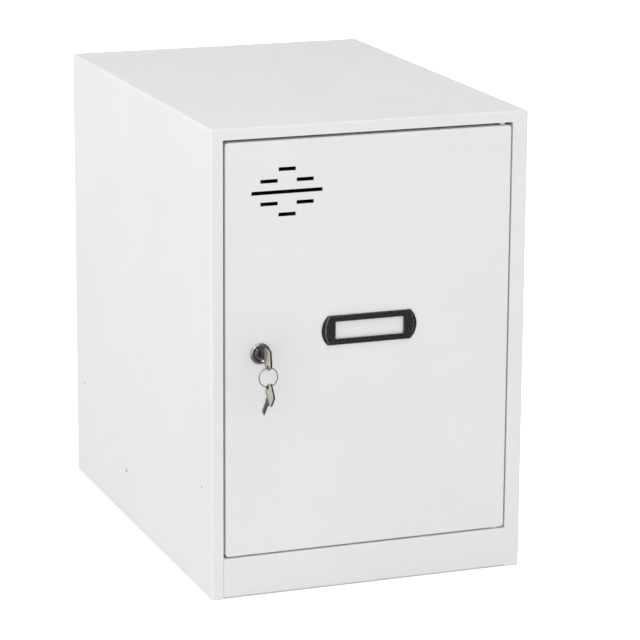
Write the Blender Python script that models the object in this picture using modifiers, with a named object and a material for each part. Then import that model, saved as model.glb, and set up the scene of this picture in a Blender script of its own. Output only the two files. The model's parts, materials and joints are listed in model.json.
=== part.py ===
"""Locker cabinet: a single-compartment steel locker with a keyed cam lock.

Builds every sub-part as its own named object. Metres, +Z up, the door faces -Y.
Run with: blender --background --python part.py
"""

import math

import bmesh
import bpy
from mathutils import Matrix, Vector

MM = 0.001

# --- driving dimensions (millimetres, turned into metres) ----------------------------
WIDTH = 350 * MM
DEPTH = 500 * MM
HEIGHT = 500 * MM
SHEET = 1.0 * MM            # sheet steel thickness
FIT = 0.3 * MM              # gap between pieces that touch
FOLD = 2.0 * MM             # outer radius of a carcass fold
DOOR_FOLD = 1.8 * MM        # outer radius of a door fold

STILE_LEFT = 12.7 * MM      # width of the frame left of the door gap
STILE_RIGHT = 17.4 * MM
RAIL_TOP = 11.6 * MM
PLINTH = 44.2 * MM          # top of the kick panel
PLINTH_LIFT = 1.2 * MM      # the kick panel hangs just clear of the floor
GAP_LATCH = 2.6 * MM        # gaps around the door
GAP_HINGE = 1.3 * MM
GAP_TOP = 3.2 * MM
GAP_BOTTOM = 1.6 * MM
DOOR_DEPTH = 18 * MM
DOOR_LIP = 14 * MM          # lips turned in behind the door's returns
DOOR_CORNER = 3.5 * MM      # radius of the door's corners
JAMB_DEPTH = 20 * MM        # how far the frame turns back beside the door
BACK_FLANGE = 12 * MM

LINK_HOLE_INSET = 33 * MM   # from the front and back faces
LINK_HOLE_HEIGHT = 115 * MM
LINK_HOLE_R = 1.6 * MM
FLOOR_HOLE_DEPTH = 302 * MM
FLOOR_HOLE_HEIGHT = 55 * MM
FLOOR_HOLE_R = 2.5 * MM
FLOOR_FLANGE = 20 * MM

HINGE_INSET = 9 * MM        # pivot axis from the door's hinged edge
HINGE_DEPTH = 5.8 * MM      # pivot axis behind the front face
PIN_R = 1.8 * MM
PIN_REACH = 12.5 * MM       # from the bracket's outer face to the pin's end
BRACKET_SETBACK = 5.5 * MM  # bracket's outer face from the door's end
PIN_HEAD_R = 2.8 * MM
BUSH_R = 2.6 * MM
BUSH_COLLAR_R = 3.2 * MM
WASHER_R = 4.0 * MM
RUNNING_R = 2.1 * MM        # hole that turns on a pin

# The lock is placed from the door's free edge and the cabinet's base.
LOCK_FROM_EDGE = 37.7 * MM
LOCK_HEIGHT = 263 * MM
CAM_LENGTH = 42 * MM
FLANGE_R = 11.2 * MM        # the ring on the door's face
BODY_R = 9.0 * MM
BORE_R = 6.6 * MM
PLUG_R = 6.3 * MM
TAIL_R = 4.0 * MM           # the plug's tail, which carries the cam
BODY_END = 19 * MM          # depths behind the door's face
TAIL_END = 23.7 * MM
CAM_FACE = 22 * MM
CAM_THICK = 2 * MM

# The key hangs from the lock; its eyelet carries the ring.
EYELET_REACH = 25 * MM      # eyelet in front of the door face
EYELET_DROP = 8.5 * MM      # eyelet below the lock's axis
EYELET_R = 1.6 * MM
KEY_THICK = 2.0 * MM
KEY_TIP = 37 * MM           # blade tip from the eyelet, along the blade
BOW_TOP = 20.5 * MM
RING_R = 10.0 * MM
RING_WIRE_R = 0.7 * MM
WIRE_HANG = 0.5 * MM        # the wire's centre from an eyelet's centre where one hangs on the other
SPARE_LEAN = math.radians(46)   # the spare key's bow leans forward as it hangs

STANDOUT = 44 * MM          # the hanging key stands this far in front of the door

# --- derived places ---------------------------------------------------------------------
FRONT = (STANDOUT - DEPTH) / 2      # the front face, so the whole object is centred
BACK = FRONT + DEPTH
LEFT = -WIDTH / 2
RIGHT = WIDTH / 2
OPEN_LEFT = LEFT + STILE_LEFT
OPEN_RIGHT = RIGHT - STILE_RIGHT
OPEN_TOP = HEIGHT - RAIL_TOP
DOOR_LEFT = OPEN_LEFT + GAP_LATCH
DOOR_RIGHT = OPEN_RIGHT - GAP_HINGE
DOOR_BOTTOM = PLINTH + GAP_BOTTOM
DOOR_TOP = OPEN_TOP - GAP_TOP
DOOR_MID = (DOOR_LEFT + DOOR_RIGHT) / 2
HINGE_X = DOOR_RIGHT - HINGE_INSET
HINGE_Y = FRONT + HINGE_DEPTH
LOCK = Vector((DOOR_LEFT + LOCK_FROM_EDGE, FRONT, LOCK_HEIGHT))
EYELET = LOCK + Vector((0, -EYELET_REACH, -EYELET_DROP))
RING_TOP = EYELET - Vector((0, 0, WIRE_HANG))
RING_CENTRE = RING_TOP - Vector((0, 0, RING_R))
SPARE_EYELET = RING_CENTRE - Vector((0, 0, RING_R + WIRE_HANG))

VENT_X = DOOR_LEFT + 66.7 * MM
VENT_Z = 431.5 * MM
VENT_PITCH = 11.8 * MM
VENT_STEP = 19.6 * MM
VENT_SHORT = 18.8 * MM
VENT_LONG = 77.4 * MM
VENT_TALL = 4.0 * MM

LABEL_Z = 281 * MM
LABEL_WIDTH = 106 * MM
LABEL_FLAT = 92 * MM        # length of the straight top and bottom edges
LABEL_TALL = 31.6 * MM
LABEL_THICK = 3.0 * MM
WINDOW_WIDTH = 76.4 * MM
WINDOW_TALL = 18.8 * MM
PEG_OFFSET = 43.5 * MM
PEG_R = 2.0 * MM

STEEL_WHITE = ("powder_coat", (0.80, 0.80, 0.80, 1), 0.45, 0.0)
ZINC = ("zinc_plate", (0.62, 0.62, 0.60, 1), 0.35, 1.0)
CHROME = ("chrome", (0.75, 0.74, 0.72, 1), 0.18, 1.0)
NICKEL = ("nickel", (0.66, 0.63, 0.57, 1), 0.28, 1.0)
BLACK_PLASTIC = ("black_plastic", (0.02, 0.02, 0.022, 1), 0.5, 0.0)
NYLON = ("nylon", (0.85, 0.84, 0.80, 1), 0.5, 0.0)
RUBBER = ("rubber", (0.03, 0.03, 0.03, 1), 0.8, 0.0)


# --- scene and object helpers -------------------------------------------------------------
def clear_scene():
    for old in list(bpy.data.objects):
        bpy.data.objects.remove(old, do_unlink=True)


def new_collection(name):
    collection = bpy.data.collections.new(name)
    bpy.context.scene.collection.children.link(collection)
    return collection


def make_material(node_name, finish):
    label, colour, roughness, metallic = finish
    material = bpy.data.materials.new(f"{node_name}_{label}")
    material.use_nodes = True
    shader = material.node_tree.nodes["Principled BSDF"]
    shader.inputs["Base Color"].default_value = colour
    shader.inputs["Roughness"].default_value = roughness
    shader.inputs["Metallic"].default_value = metallic
    return material


def add_object(name, mesh, finish, location=(0, 0, 0), rotation=(0, 0, 0)):
    """Link a mesh into the cabinet's collection, as the sub-part of this name."""
    piece = bpy.data.objects.new(name, mesh)
    piece.location = location
    piece.rotation_euler = rotation
    PARTS.objects.link(piece)
    mesh.materials.append(make_material(name, finish))
    return piece


def mesh_of(bm, name):
    mesh = bpy.data.meshes.new(name)
    bmesh.ops.recalc_face_normals(bm, faces=bm.faces)
    bm.to_mesh(mesh)
    bm.free()
    return mesh


def sheet_mesh_of(bm, name):
    """An open sheet keeps the facing that its first face was made with."""
    mesh = bpy.data.meshes.new(name)
    bm.to_mesh(mesh)
    bm.free()
    return mesh


def smooth(piece, angle=35):
    for polygon in piece.data.polygons:
        polygon.use_smooth = True
    piece.data.set_sharp_from_angle(angle=math.radians(angle))


def add_solidify(piece, thickness, offset):
    solidify = piece.modifiers.new("sheet", "SOLIDIFY")
    solidify.thickness = thickness
    solidify.offset = offset
    solidify.use_even_offset = True
    return solidify


def add_bevel(piece, width, segments=3, angle=35):
    bevel = piece.modifiers.new("round", "BEVEL")
    bevel.width = width
    bevel.segments = segments
    bevel.limit_method = "ANGLE"
    bevel.angle_limit = math.radians(angle)
    return bevel


def cut(piece, cutter):
    boolean = piece.modifiers.new("cut", "BOOLEAN")
    boolean.operation = "DIFFERENCE"
    boolean.solver = "EXACT"
    boolean.object = cutter
    return boolean


def add_cutter(name, bm):
    mesh = mesh_of(bm, name)
    cutter = bpy.data.objects.new(name, mesh)
    cutter.display_type = "WIRE"
    cutter.hide_render = True
    CUTTERS.objects.link(cutter)
    return cutter


# --- shape helpers --------------------------------------------------------------------------
def box_into(bm, low, high):
    size = [b - a for a, b in zip(low, high)]
    centre = [(a + b) / 2 for a, b in zip(low, high)]
    matrix = Matrix.Translation(centre) @ Matrix.Diagonal((*size, 1))
    return bmesh.ops.create_cube(bm, size=1, matrix=matrix)["verts"]


def rod_into(bm, centre, radius, length, axis, sides=32):
    turns = {
        "X": Matrix.Rotation(math.pi / 2, 4, "Y"),
        "Y": Matrix.Rotation(math.pi / 2, 4, "X"),
        "Z": Matrix.Identity(4),
    }
    bmesh.ops.create_cone(bm, cap_ends=True, segments=sides, radius1=radius, radius2=radius,
                          depth=length, matrix=Matrix.Translation(centre) @ turns[axis])


def folded_strip(name, profile, axis, start, end, finish, fold=FOLD, side=1.0, sheet=SHEET):
    """A sheet-metal strip: an open profile drawn along an axis, folded and given thickness.

    The profile lists (y, z) for axis X, (x, z) for axis Y and (x, y) for axis Z.
    """
    place = {
        "X": lambda a, b, t: (t, a, b),
        "Y": lambda a, b, t: (a, t, b),
        "Z": lambda a, b, t: (a, b, t),
    }[axis]
    bm = bmesh.new()
    near = [bm.verts.new(place(a, b, start)) for a, b in profile]
    far = [bm.verts.new(place(a, b, end)) for a, b in profile]
    for i in range(len(profile) - 1):
        bm.faces.new((near[i], near[i + 1], far[i + 1], far[i]))
    piece = add_object(name, sheet_mesh_of(bm, name), finish)
    if len(profile) > 2:
        add_bevel(piece, fold)
    add_solidify(piece, sheet, side)
    smooth(piece)
    return piece


def turned(name, profile, centre, finish, inward=False, steps=48, closed=False):
    """A turned piece: (radius, height) pairs, down the outside from top to bottom.

    Heights run along +Z, or along +Y into the cabinet when inward is set.
    """
    bm = bmesh.new()
    verts = [bm.verts.new((radius, 0, height)) for radius, height in profile]
    for first, second in zip(verts, verts[1:]):
        bm.edges.new((first, second))
    if closed:
        bm.edges.new((verts[-1], verts[0]))
    mesh = bpy.data.meshes.new(name)
    bm.to_mesh(mesh)
    bm.free()
    rotation = (-math.pi / 2, 0, 0) if inward else (0, 0, 0)
    piece = add_object(name, mesh, finish, location=centre, rotation=rotation)
    screw = piece.modifiers.new("turn", "SCREW")
    screw.axis = "Z"
    screw.angle = math.tau
    screw.steps = steps
    screw.render_steps = steps
    screw.use_merge_vertices = True
    screw.merge_threshold = 0.00001
    return piece


def arc(centre, radius, start, end, steps):
    """Points of an arc in degrees, first and last included."""
    points = []
    for i in range(steps + 1):
        angle = math.radians(start + (end - start) * i / steps)
        points.append((centre[0] + radius * math.cos(angle), centre[1] + radius * math.sin(angle)))
    return points


def plate(name, outlines, thickness, finish, matrix):
    """A flat plate from 2D outlines (the first is the edge, the others are holes)."""
    curve = bpy.data.curves.new(name, "CURVE")
    curve.dimensions = "2D"
    curve.fill_mode = "BOTH"
    curve.extrude = thickness / 2
    for outline in outlines:
        spline = curve.splines.new("POLY")
        spline.points.add(len(outline) - 1)
        for point, (a, b) in zip(spline.points, outline):
            point.co = (a, b, 0, 1)
        spline.use_cyclic_u = True
    holder = bpy.data.objects.new(name + "_outline", curve)
    PARTS.objects.link(holder)
    bpy.context.view_layer.update()
    graph = bpy.context.evaluated_depsgraph_get()
    mesh = bpy.data.meshes.new_from_object(holder.evaluated_get(graph))
    bpy.data.objects.remove(holder, do_unlink=True)
    bm = bmesh.new()
    bm.from_mesh(mesh)
    bmesh.ops.remove_doubles(bm, verts=bm.verts, dist=0.00001)
    bmesh.ops.recalc_face_normals(bm, faces=bm.faces)
    bm.to_mesh(mesh)
    bm.free()
    mesh.name = name
    mesh.materials.clear()
    piece = add_object(name, mesh, finish)
    piece.matrix_world = matrix
    return piece


def join_rod(piece, name, centre, radius, length, axis):
    """Fuse a rod onto a piece with a Boolean union; the rod stays among the cutters."""
    bm = bmesh.new()
    rod_into(bm, centre, radius, length, axis)
    rod = add_cutter(name, bm)
    union = piece.modifiers.new("join", "BOOLEAN")
    union.operation = "UNION"
    union.solver = "EXACT"
    union.object = rod


# --- carcass ----------------------------------------------------------------------------------
def extrude_edges(bm, edges, move):
    """Fold a flange from a chain of edges; move gives each new vertex its place."""
    result = bmesh.ops.extrude_edge_only(bm, edges=edges)["geom"]
    for item in result:
        if isinstance(item, bmesh.types.BMVert):
            item.co = move(item.co)
    return [item for item in result if isinstance(item, bmesh.types.BMEdge)]


def new_boundary(bm, y, tolerance=1e-6):
    """The open edges that lie in the plane at this depth."""
    found = []
    for edge in bm.edges:
        flat = all(abs(vert.co.y - y) < tolerance for vert in edge.verts)
        if edge.is_boundary and flat:
            found.append(edge)
    return found


def frame_side(co):
    return -1 if co.x < 0 else 1


def build_body_wrapper():
    """Sides and top in one sheet, with the front frame and the back flange folded from it."""
    bm = bmesh.new()
    box_into(bm, (LEFT, FRONT, 0), (RIGHT, BACK, HEIGHT))
    open_faces = [face for face in bm.faces if abs(face.normal.y) > 0.5 or face.normal.z < -0.5]
    bmesh.ops.delete(bm, geom=open_faces, context="FACES")

    def to_opening(co):
        x = OPEN_LEFT if co.x < 0 else OPEN_RIGHT
        z = OPEN_TOP if co.z > HEIGHT / 2 else 0
        return Vector((x, FRONT, z))

    def to_back_flange(co):
        z = HEIGHT - BACK_FLANGE if co.z > HEIGHT / 2 else 0
        return Vector((co.x - frame_side(co) * BACK_FLANGE, BACK, z))

    extrude_edges(bm, new_boundary(bm, BACK), to_back_flange)
    extrude_edges(bm, new_boundary(bm, FRONT), to_opening)
    inner = []
    for edge in new_boundary(bm, FRONT):
        on_opening = all(OPEN_LEFT - 1e-6 < v.co.x < OPEN_RIGHT + 1e-6 for v in edge.verts)
        if on_opening:
            inner.append(edge)
    extrude_edges(bm, inner, lambda co: Vector((co.x, FRONT + JAMB_DEPTH, co.z)))
    weights = bm.edges.layers.float.new("bevel_weight_edge")
    for edge in bm.edges:
        if len(edge.link_faces) == 2 and edge.calc_face_angle_signed() > math.radians(35):
            edge[weights] = 1.0
    wrapper = add_object("body_wrapper", sheet_mesh_of(bm, "body_wrapper"), STEEL_WHITE)
    bevel = add_bevel(wrapper, FOLD)
    bevel.limit_method = "WEIGHT"
    add_solidify(wrapper, SHEET, -1)
    cut(wrapper, side_hole_cutter())
    cut(wrapper, pivot_cutter("wrapper_pivot_cutter", OPEN_TOP + SHEET / 2))
    smooth(wrapper)


def side_hole_cutter():
    """Linking holes near the front and back of both sides, and the floor's fixing holes."""
    bm = bmesh.new()
    places = [
        (FRONT + LINK_HOLE_INSET, LINK_HOLE_HEIGHT, LINK_HOLE_R),
        (BACK - LINK_HOLE_INSET, LINK_HOLE_HEIGHT, LINK_HOLE_R),
        (FRONT + FLOOR_HOLE_DEPTH, FLOOR_HOLE_HEIGHT, FLOOR_HOLE_R),
    ]
    for x in (LEFT, RIGHT):
        for y, z, radius in places:
            rod_into(bm, (x, y, z), radius, 8 * MM, "X", 24)
    return add_cutter("side_hole_cutter", bm)


def pivot_cutter(name, z):
    bm = bmesh.new()
    rod_into(bm, (HINGE_X, HINGE_Y, z), BUSH_R + FIT, 6 * MM, "Z")
    return add_cutter(name, bm)


def build_back_panel():
    y = BACK - SHEET - FIT
    half = WIDTH / 2 - SHEET - 0.8 * MM
    profile = [(y - 10 * MM, 0), (y, 0), (y, HEIGHT - SHEET - 0.8 * MM)]
    folded_strip("back_panel", profile, "X", -half, half, STEEL_WHITE, side=-1)


def build_floor_panel():
    half = WIDTH / 2 - SHEET - FIT
    top = PLINTH
    low = top - SHEET
    high = top + FLOOR_FLANGE
    profile = [(-half, high), (-half, low), (half, low), (half, high)]
    start = FRONT + JAMB_DEPTH + SHEET + 2 * FIT
    floor = folded_strip("floor_panel", profile, "Y", start, BACK - 3 * MM, STEEL_WHITE)
    bm = bmesh.new()
    for x in (-half, half):
        rod_into(bm, (x, FRONT + FLOOR_HOLE_DEPTH, FLOOR_HOLE_HEIGHT), FLOOR_HOLE_R, 6 * MM, "X", 24)
    cut(floor, add_cutter("floor_hole_cutter", bm))


def build_plinth_panel():
    lip = PLINTH - 14 * MM
    back = FRONT + JAMB_DEPTH
    foot = PLINTH_LIFT
    profile = [(back, foot), (FRONT, foot), (FRONT, PLINTH), (back, PLINTH), (back, lip)]
    plinth = folded_strip("plinth_panel", profile, "X", OPEN_LEFT + FIT, OPEN_RIGHT - FIT, STEEL_WHITE)
    cut(plinth, pivot_cutter("plinth_pivot_cutter", PLINTH - SHEET / 2))


def build_base_rails():
    """Angles welded along the foot of each side, which the cabinet stands on."""
    start = FRONT + JAMB_DEPTH + 4 * MM
    end = BACK - 15 * MM
    for name, sign in (("base_rail_left", -1), ("base_rail_right", 1)):
        outer = sign * (WIDTH / 2 - SHEET - FIT)
        profile = [(outer, 22 * MM), (outer, 0), (outer - sign * 18 * MM, 0)]
        folded_strip(name, profile, "Y", start, end, STEEL_WHITE, side=-sign)


def build_strike():
    """Angle behind the left jamb: the cam hooks behind it and the door closes onto it."""
    inner = OPEN_LEFT - SHEET - FIT
    back = FRONT + JAMB_DEPTH + FIT
    profile = [(inner, FRONT + 6 * MM), (inner, back), (inner + 12 * MM, back)]
    half = 55 * MM
    folded_strip("strike_plate", profile, "Z", LOCK_HEIGHT - half, LOCK_HEIGHT + half, ZINC,
                 fold=0.2 * MM, side=-1)
    pad = back - FRONT - DOOR_DEPTH - 2 * FIT
    for name, z in (("buffer_upper", LOCK_HEIGHT + 42 * MM), ("buffer_lower", LOCK_HEIGHT - 42 * MM)):
        centre = (DOOR_LEFT + 4 * MM, back - FIT, z)
        turned(name, [(0, 0), (4.2 * MM, 0), (4.2 * MM, -pad * 0.6), (3.4 * MM, -pad), (0, -pad)],
               centre, RUBBER, inward=True, steps=24)


def build_bushes():
    """Nylon sleeves in the frame that the hinge pins turn in, with the collar on the hidden side.

    The upper sleeve reaches down through the gap above the door.
    """
    collar = SHEET / 2 + FIT
    top = collar + 1.2 * MM

    def profile(reach):
        """From the collar down to where the sleeve ends, this far out of the sheet."""
        end = -SHEET / 2 - reach
        return [
            (RUNNING_R, top), (BUSH_COLLAR_R, top), (BUSH_COLLAR_R, collar), (BUSH_R, collar),
            (BUSH_R, end), (RUNNING_R, end),
        ]

    upper = profile(GAP_TOP - 2 * FIT)
    turned("hinge_bush_top", upper, (HINGE_X, HINGE_Y, OPEN_TOP + SHEET / 2), NYLON, closed=True)
    lower = [(radius, -height) for radius, height in reversed(profile(FIT / 2))]
    turned("hinge_bush_bottom", lower, (HINGE_X, HINGE_Y, PLINTH - SHEET / 2), NYLON, closed=True)


# --- door -----------------------------------------------------------------------------------
def build_door_skin():
    """A pan: flat front, returns on four sides and lips turned in behind."""
    bm = bmesh.new()
    back = FRONT + DOOR_DEPTH
    box_into(bm, (DOOR_LEFT, FRONT, DOOR_BOTTOM), (DOOR_RIGHT, back, DOOR_TOP))
    corners = [edge for edge in bm.edges if abs(edge.verts[0].co.y - edge.verts[1].co.y) > DOOR_DEPTH / 2]
    bmesh.ops.bevel(bm, geom=corners, offset=DOOR_CORNER, segments=4, affect="EDGES", profile=0.5)
    rear = [face for face in bm.faces if face.normal.y > 0.9]
    bmesh.ops.delete(bm, geom=rear, context="FACES_ONLY")
    middle_z = (DOOR_BOTTOM + DOOR_TOP) / 2

    def to_lip(co):
        x = co.x + (DOOR_LIP if co.x < DOOR_MID else -DOOR_LIP)
        z = co.z + (DOOR_LIP if co.z < middle_z else -DOOR_LIP)
        return Vector((x, co.y, z))

    extrude_edges(bm, new_boundary(bm, back), to_lip)
    skin = add_object("door_skin", sheet_mesh_of(bm, "door_skin"), STEEL_WHITE)
    add_bevel(skin, DOOR_FOLD, angle=50)
    add_solidify(skin, SHEET, -1)
    cut(skin, door_cutter())
    smooth(skin)


def door_cutter():
    """Vent slots in a diamond, the lock's hole, the label's peg holes and the pivot holes."""
    bm = bmesh.new()
    rows = [
        (2, (0,), VENT_SHORT), (1, (-1, 1), VENT_SHORT), (0, (0,), VENT_LONG),
        (-1, (-1, 1), VENT_SHORT), (-2, (0,), VENT_SHORT),
    ]
    for row, columns, length in rows:
        z = VENT_Z + row * VENT_PITCH
        for column in columns:
            x = VENT_X + column * VENT_STEP
            low = (x - length / 2, FRONT - 3 * MM, z - VENT_TALL / 2)
            high = (x + length / 2, FRONT + 3 * MM, z + VENT_TALL / 2)
            box_into(bm, low, high)
    rod_into(bm, LOCK, BODY_R + FIT, 6 * MM, "Y", 48)
    for side in (-1, 1):
        rod_into(bm, (DOOR_MID + side * PEG_OFFSET, FRONT, LABEL_Z), PEG_R + FIT, 6 * MM, "Y", 24)
    for z in (DOOR_TOP, DOOR_BOTTOM):
        rod_into(bm, (HINGE_X, HINGE_Y, z), RUNNING_R, 6 * MM, "Z")
    return add_cutter("door_cutter", bm)


def build_door_stiffener():
    """Hat channel up the middle of the door's inner face."""
    low = FRONT + SHEET + FIT
    high = low + 13 * MM
    middle = DOOR_MID
    profile = [
        (middle - 32 * MM, low), (middle - 20 * MM, low), (middle - 17 * MM, high),
        (middle + 17 * MM, high), (middle + 20 * MM, low), (middle + 32 * MM, low),
    ]
    folded_strip("door_stiffener", profile, "Z", DOOR_BOTTOM + 2 * MM, DOOR_TOP - 2 * MM,
                 STEEL_WHITE, fold=1.5 * MM, side=-1)


def build_hinge_end(end, sign, edge):
    """One end of the hinge: a bracket inside the door and the pin that passes through it."""
    leaf = 1.5 * MM
    near = FRONT + SHEET + FIT
    inner = edge - sign * BRACKET_SETBACK
    profile = [(near, inner - sign * 22 * MM), (near, inner), (FRONT + 14.5 * MM, inner)]
    bracket = folded_strip(f"hinge_bracket_{end}", profile, "X", HINGE_X - 12 * MM, HINGE_X + 7 * MM,
                           ZINC, fold=2 * MM, side=sign, sheet=leaf)
    bm = bmesh.new()
    rod_into(bm, (HINGE_X, HINGE_Y, inner - sign * leaf / 2), RUNNING_R, 6 * MM, "Z")
    cut(bracket, add_cutter(f"hinge_bracket_{end}_cutter", bm))
    head = -leaf - FIT
    chamfer = 0.5 * MM
    top = head - 1.6 * MM
    profile = [
        (0, PIN_REACH), (PIN_R - chamfer, PIN_REACH), (PIN_R, PIN_REACH - chamfer), (PIN_R, head),
        (PIN_HEAD_R, head), (PIN_HEAD_R, top + chamfer), (PIN_HEAD_R - chamfer, top), (0, top),
    ]
    if sign < 0:
        profile = [(radius, -height) for radius, height in reversed(profile)]
    turned(f"hinge_pin_{end}", profile, (HINGE_X, HINGE_Y, inner), ZINC)


def build_hinge():
    build_hinge_end("top", 1, DOOR_TOP)
    build_hinge_end("bottom", -1, DOOR_BOTTOM)
    half = GAP_BOTTOM / 2 - FIT - 0.1 * MM
    ring = [(WASHER_R, half), (WASHER_R, -half), (RUNNING_R, -half), (RUNNING_R, half)]
    centre = (HINGE_X, HINGE_Y, PLINTH + GAP_BOTTOM / 2 + 0.1 * MM)
    turned("hinge_washer", ring, centre, NYLON, closed=True)


def build_label_holder():
    """Frame with bulging ends and a window, held by two pegs pressed through the door."""
    half = LABEL_FLAT / 2
    tall = LABEL_TALL / 2
    rise = (LABEL_WIDTH - LABEL_FLAT) / 2
    radius = (tall ** 2 + rise ** 2) / (2 * rise)
    spread = math.degrees(math.asin(tall / radius))
    centre_x = half + rise - radius
    outline = arc((centre_x, 0), radius, -spread, spread, 12)
    outline += arc((-centre_x, 0), radius, 180 - spread, 180 + spread, 12)
    w, h = WINDOW_WIDTH / 2, WINDOW_TALL / 2
    corner = 1.0 * MM
    window = []
    for sx, sy, start in ((1, 1, 0), (-1, 1, 90), (-1, -1, 180), (1, -1, 270)):
        window += arc((sx * (w - corner), sy * (h - corner)), corner, start, start + 90, 3)
    centre = Vector((DOOR_MID, FRONT - FIT - LABEL_THICK / 2, LABEL_Z))
    matrix = Matrix.Translation(centre) @ Matrix.Rotation(math.pi / 2, 4, "X")
    holder = plate("label_holder", [outline, window], LABEL_THICK, BLACK_PLASTIC, matrix)
    bm = bmesh.new()
    rear = -LABEL_THICK / 2
    box_into(bm, (-w - 3 * MM, -h - 2.5 * MM, rear - MM), (w + 3 * MM, h + 2.5 * MM, rear + 0.8 * MM))
    pocket = add_cutter("label_pocket_cutter", bm)
    pocket.matrix_world = matrix
    cut(holder, pocket)
    peg = 7 * MM
    for side, name in ((-1, "left"), (1, "right")):
        place = (DOOR_MID + side * PEG_OFFSET, FRONT - FIT - 1 * MM + peg / 2, LABEL_Z)
        join_rod(holder, f"label_peg_{name}", place, PEG_R, peg, "Y")
        clip_profile = [
            (PEG_R + FIT, 1.2 * MM), (3.6 * MM, 1.2 * MM), (5.2 * MM, 0.8 * MM), (5.2 * MM, 0),
            (PEG_R + FIT, 0),
        ]
        place = (DOOR_MID + side * PEG_OFFSET, FRONT + SHEET + FIT, LABEL_Z)
        turned(f"label_clip_{name}", clip_profile, place, ZINC, inward=True, steps=24, closed=True)
    add_bevel(holder, 0.8 * MM, 2, 60)


# --- lock ----------------------------------------------------------------------------------
def build_lock_housing():
    seat = -FIT
    rim = -2.8 * MM
    dish = -1.2 * MM
    profile = [
        (BORE_R, BODY_END), (BODY_R, BODY_END), (BODY_R, seat), (FLANGE_R, seat),
        (FLANGE_R, -1.5 * MM), (10.6 * MM, -2.4 * MM), (9.8 * MM, rim), (8.6 * MM, rim),
        (7.6 * MM, -2.2 * MM), (7.2 * MM, dish), (BORE_R, dish),
    ]
    housing = turned("lock_housing", profile, LOCK, CHROME, inward=True, steps=64, closed=True)
    smooth(housing)
    thick = 4 * MM
    hexagon = arc((0, 0), 13.5 * MM, 0, 300, 5)
    hole = arc((0, 0), BODY_R + FIT, 0, 345, 23)
    place = Matrix.Translation(LOCK + Vector((0, SHEET + FIT + thick / 2, 0)))
    nut = plate("lock_nut", [hexagon, hole], thick, ZINC, place @ Matrix.Rotation(math.pi / 2, 4, "X"))
    add_bevel(nut, 0.4 * MM, 1, 50)


def build_lock_core():
    """Plug with its keyway, the cam on its tail and the screw that holds the cam."""
    step = BODY_END + 1.3 * MM
    face = -1.3 * MM
    edge = 0.4 * MM
    profile = [
        (0, TAIL_END), (TAIL_R, TAIL_END), (TAIL_R, step), (PLUG_R, step),
        (PLUG_R, face + edge), (PLUG_R - edge, face), (0, face),
    ]
    plug = turned("lock_plug", profile, LOCK, CHROME, inward=True, steps=64)
    bm = bmesh.new()
    half_w = KEY_THICK / 2 + FIT
    half_h = 3.5 * MM + FIT
    box_into(bm, (LOCK.x - half_w, FRONT - 4 * MM, LOCK.z - half_h),
             (LOCK.x + half_w, FRONT + 14 * MM, LOCK.z + half_h))
    cut(plug, add_cutter("keyway_cutter", bm))
    bm = bmesh.new()
    rod_into(bm, LOCK + Vector((0, 21.5 * MM, 0)), 2.0 * MM, 9 * MM, "Y", 24)
    cut(plug, add_cutter("cam_screw_hole_cutter", bm))
    smooth(plug)
    round_end = 9 * MM
    tip = 7 * MM
    length = CAM_LENGTH - tip
    lean = math.degrees(math.asin((round_end - tip) / length))
    outline = arc((0, 0), round_end, lean, 180 - lean, 12)
    outline += arc((0, -length), tip, 180 - lean, 360 + lean, 12)
    hole = arc((0, 0), TAIL_R + FIT, 0, 345, 23)
    middle = LOCK + Vector((0, CAM_FACE + CAM_THICK / 2, 0))
    matrix = Matrix.Translation(middle) @ Matrix.Rotation(math.pi / 2, 4, "X")
    plate("lock_cam", [outline, hole], CAM_THICK, ZINC, matrix)
    seat = CAM_FACE + CAM_THICK + 0.4 * MM
    brim = seat + 1.6 * MM
    shank = 1.7 * MM
    screw = [
        (0, 28.3 * MM), (3.0 * MM, 28.3 * MM), (4.4 * MM, 27.4 * MM), (4.8 * MM, brim),
        (5.5 * MM, brim), (5.5 * MM, seat), (shank, seat), (shank, 17.6 * MM), (0, 17.6 * MM),
    ]
    screw_piece = turned("cam_screw", screw, LOCK, ZINC, inward=True, steps=32)
    slot = 2.6 * MM
    narrow = 0.5 * MM
    for name, across, up in (("level", slot, narrow), ("upright", narrow, slot)):
        bm = bmesh.new()
        box_into(bm, (LOCK.x - across, FRONT + 27.2 * MM, LOCK.z - up),
                 (LOCK.x + across, FRONT + 30 * MM, LOCK.z + up))
        cut(screw_piece, add_cutter(f"cam_screw_slot_{name}", bm))
    smooth(screw_piece)


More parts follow.
